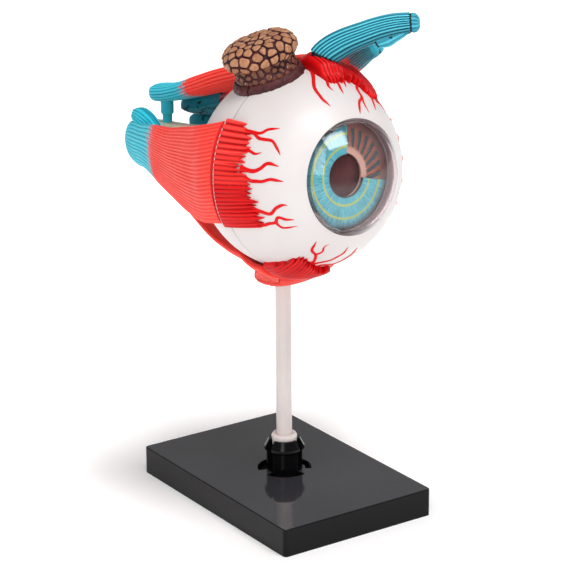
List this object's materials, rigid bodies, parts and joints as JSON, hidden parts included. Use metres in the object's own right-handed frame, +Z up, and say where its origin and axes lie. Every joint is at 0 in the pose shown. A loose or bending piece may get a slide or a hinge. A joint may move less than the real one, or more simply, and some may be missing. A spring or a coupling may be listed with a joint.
{
  "type": "eye anatomy model",
  "caption": "Take-apart teaching model of the human eye with muscles, layers, lens and cornea, on a swivelling rod over a flat rectangular base.",
  "frame": {"origin": "middle of the base plate's underside, on the rod's axis", "axes": "+Z up along the rod, the eye looks towards -Y, turned 3.5 degrees towards its nose side, which is +X"},
  "size_m": [0.0706, 0.1162, 0.1631],
  "materials": {
    "white_shell": "gloss",
    "muscle_red": "satin",
    "muscle_coral": "matte",
    "tendon_red": "gloss",
    "tendon_teal": "gloss",
    "gland_brown": "satin",
    "gland_foot": "satin",
    "nerve_cream": "satin",
    "vessel_red": "gloss",
    "choroid_brown": "matte",
    "retina_orange": "matte",
    "clear_vitreous": "clear",
    "clear_lens": "clear",
    "clear_cornea": "clear",
    "ciliary_stripes": "matte",
    "iris_blue": "satin",
    "stand_black": "gloss",
    "rod_white": "satin"
  },
  "bodies": {
    "stand": {"base_plate": "stand_black", "claw_socket": "stand_black"},
    "rod": {"rod_collar": "rod_white", "support_rod": "rod_white"},
    "inferior_oblique_body": {"inferior_oblique": "muscle_coral"},
    "inferior_rectus_body": {"inferior_rectus": "muscle_red"},
    "rear_globe": {"rear_sclera": "white_shell", "optic_nerve": "nerve_cream", "nerve_vessels": "vessel_red", "gland_seat_rear": "gland_foot"},
    "lateral_rectus_body": {"lateral_rectus": "muscle_red"},
    "medial_rectus_body": {"medial_rectus": "muscle_red"},
    "superior_rectus_body": {"superior_rectus": "muscle_red"},
    "superior_oblique_body": {"superior_oblique_belly": "muscle_red"},
    "choroid_layer": {"choroid_cup": "choroid_brown"},
    "retina_layer": {"retina_cup": "retina_orange"},
    "vitreous_fill": {"vitreous_body": "clear_vitreous"},
    "lens_body": {"crystalline_lens": "clear_lens"},
    "ciliary_ring": {"ciliary_body": "ciliary_stripes"},
    "iris_disc": {"iris": "iris_blue"},
    "front_globe": {"front_sclera": "white_shell", "lateral_tendon": "tendon_red", "medial_tendon": "tendon_red", "superior_tendon": "tendon_red", "inferior_tendon": "tendon_red", "gland_seat_front": "gland_foot"},
    "cornea_dome": {"cornea": "clear_cornea"},
    "pulley_tendon": {"superior_oblique_tendon": "tendon_teal", "trochlea": "tendon_teal"},
    "gland_body": {"lacrimal_gland": "gland_brown"}
  },
  "joints": [
    {"name": "stand_swivel", "type": "hinge", "parent": "stand", "child": "rod", "pos_m": [0, 0, 0.02], "axis": [0, 0, 1], "continuous": true},
    {"name": "lift_inferior_oblique", "type": "slide", "parent": "rod", "child": "inferior_oblique_body", "axis": [0, 0, 1], "range_m": [0, 0.014]},
    {"name": "lift_inferior_rectus", "type": "slide", "parent": "inferior_oblique_body", "child": "inferior_rectus_body", "axis": [0, 0, 1], "range_m": [0, 0.012]},
    {"name": "lift_globe", "type": "slide", "parent": "inferior_rectus_body", "child": "rear_globe", "axis": [0, 0, 1], "range_m": [0, 0.024]},
    {"name": "draw_lateral_rectus", "type": "slide", "parent": "rear_globe", "child": "lateral_rectus_body", "axis": [-0.9981, -0.061, 0], "range_m": [0, 0.026]},
    {"name": "draw_medial_rectus", "type": "slide", "parent": "rear_globe", "child": "medial_rectus_body", "axis": [0.9981, 0.061, 0], "range_m": [0, 0.026]},
    {"name": "lift_superior_rectus", "type": "slide", "parent": "rear_globe", "child": "superior_rectus_body", "axis": [0, 0, 1], "range_m": [0, 0.026]},
    {"name": "draw_superior_oblique", "type": "slide", "parent": "rear_globe", "child": "superior_oblique_body", "axis": [0.6825, 0.3342, 0.65], "range_m": [0, 0.024]},
    {"name": "draw_choroid", "type": "slide", "parent": "rear_globe", "child": "choroid_layer", "axis": [0.0607, -0.9927, 0.1045], "range_m": [0, 0.034]},
    {"name": "draw_retina", "type": "slide", "parent": "choroid_layer", "child": "retina_layer", "axis": [0.0607, -0.9927, 0.1045], "range_m": [0, 0.032]},
    {"name": "draw_vitreous", "type": "slide", "parent": "retina_layer", "child": "vitreous_fill", "axis": [0.0607, -0.9927, 0.1045], "range_m": [0, 0.03]},
    {"name": "draw_lens", "type": "slide", "parent": "vitreous_fill", "child": "lens_body", "axis": [0.0607, -0.9927, 0.1045], "range_m": [0, 0.012]},
    {"name": "draw_ciliary_ring", "type": "slide", "parent": "lens_body", "child": "ciliary_ring", "axis": [0.0607, -0.9927, 0.1045], "range_m": [0, 0.014]},
    {"name": "draw_iris", "type": "slide", "parent": "ciliary_ring", "child": "iris_disc", "axis": [0.0607, -0.9927, 0.1045], "range_m": [0, 0.01]},
    {"name": "draw_front_globe", "type": "slide", "parent": "iris_disc", "child": "front_globe", "axis": [0.0607, -0.9927, 0.1045], "range_m": [0, 0.034]},
    {"name": "draw_cornea", "type": "slide", "parent": "front_globe", "child": "cornea_dome", "axis": [0.0607, -0.9927, 0.1045], "range_m": [0, 0.016]},
    {"name": "lift_pulley_tendon", "type": "slide", "parent": "front_globe", "child": "pulley_tendon", "axis": [0, 0, 1], "range_m": [0, 0.024]},
    {"name": "lift_gland", "type": "slide", "parent": "front_globe", "child": "gland_body", "axis": [-0.2851, 0.1231, 0.9506], "range_m": [0, 0.016]}
  ]
}
